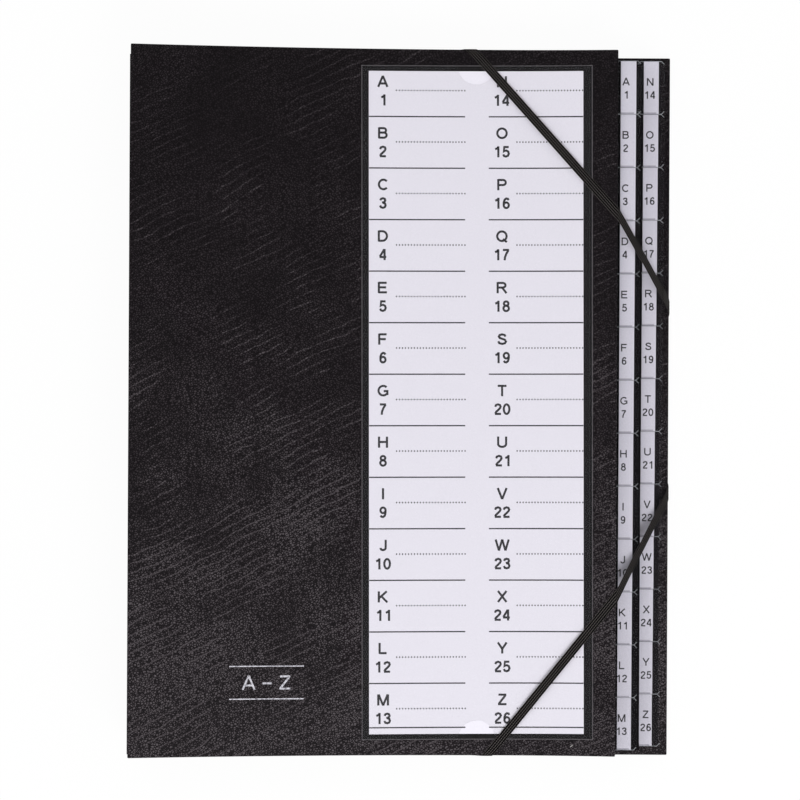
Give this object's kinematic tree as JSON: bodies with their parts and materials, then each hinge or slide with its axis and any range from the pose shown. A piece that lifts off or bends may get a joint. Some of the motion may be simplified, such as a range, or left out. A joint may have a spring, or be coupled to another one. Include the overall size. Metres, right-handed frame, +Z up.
{
  "type": "alphabetical desk sorter",
  "caption": "Desk sorter with leatherette covers, concertina spine, stepped lettered divider tabs, a clear index pocket on the front and two corner elastics.",
  "frame": {"origin": "centre of the closed sorter's footprint, on the surface that it lies on", "axes": "+Z up out of the front cover as it lies closed, +X from the spine to the tabs, +Y towards the top of the index card"},
  "size_m": [0.2494, 0.3286, 0.042],
  "materials": {
    "leatherette": "black grained leatherette, satin",
    "divider_card": "black card, matt",
    "gusset_cloth": "black bookbinding cloth, matt",
    "tab_film": "clear film over white printed paper",
    "index_paper": "white printed card, matt",
    "pocket_film": "clear film, glossy",
    "elastic_braid": "dark flat braided elastic"
  },
  "bodies": {
    "back_cover": {"back_cover": "leatherette", "elastic_top": "elastic_braid", "elastic_bottom": "elastic_braid"},
    "leaf_block": {"spine_cover": "leatherette", "spine_gusset": "gusset_cloth", "divider_a": "divider_card", "divider_b": "divider_card", "divider_c": "divider_card", "divider_d": "divider_card", "divider_e": "divider_card", "divider_f": "divider_card", "divider_g": "divider_card", "divider_h": "divider_card", "divider_i": "divider_card", "divider_j": "divider_card", "divider_k": "divider_card", "divider_l": "divider_card", "divider_m": "divider_card", "divider_n": "divider_card", "divider_o": "divider_card", "divider_p": "divider_card", "divider_q": "divider_card", "divider_r": "divider_card", "divider_s": "divider_card", "divider_t": "divider_card", "divider_u": "divider_card", "divider_v": "divider_card", "divider_w": "divider_card", "divider_x": "divider_card", "divider_y": "divider_card", "divider_z": "divider_card", "tab_a": "tab_film", "tab_b": "tab_film", "tab_c": "tab_film", "tab_d": "tab_film", "tab_e": "tab_film", "tab_f": "tab_film", "tab_g": "tab_film", "tab_h": "tab_film", "tab_i": "tab_film", "tab_j": "tab_film", "tab_k": "tab_film", "tab_l": "tab_film", "tab_m": "tab_film", "tab_n": "tab_film", "tab_o": "tab_film", "tab_p": "tab_film", "tab_q": "tab_film", "tab_r": "tab_film", "tab_s": "tab_film", "tab_t": "tab_film", "tab_u": "tab_film", "tab_v": "tab_film", "tab_w": "tab_film", "tab_x": "tab_film", "tab_y": "tab_film", "tab_z": "tab_film"},
    "front_cover": {"front_cover": "leatherette", "index_card": "index_paper", "card_pocket": "pocket_film"}
  },
  "joints": [
    {"name": "back_cover_hinge", "type": "hinge", "parent": "back_cover", "child": "leaf_block", "pos_m": [-0.12472, 0, 0.0011], "axis": [0, -1, 0], "range_deg": [0, 90], "deforming": ["elastic_top", "elastic_bottom"]},
    {"name": "front_cover_hinge", "type": "hinge", "parent": "leaf_block", "child": "front_cover", "pos_m": [-0.12472, 0, 0.04199], "axis": [0, -1, 0], "range_deg": [0, 180], "deforming": ["elastic_top", "elastic_bottom"]}
  ]
}
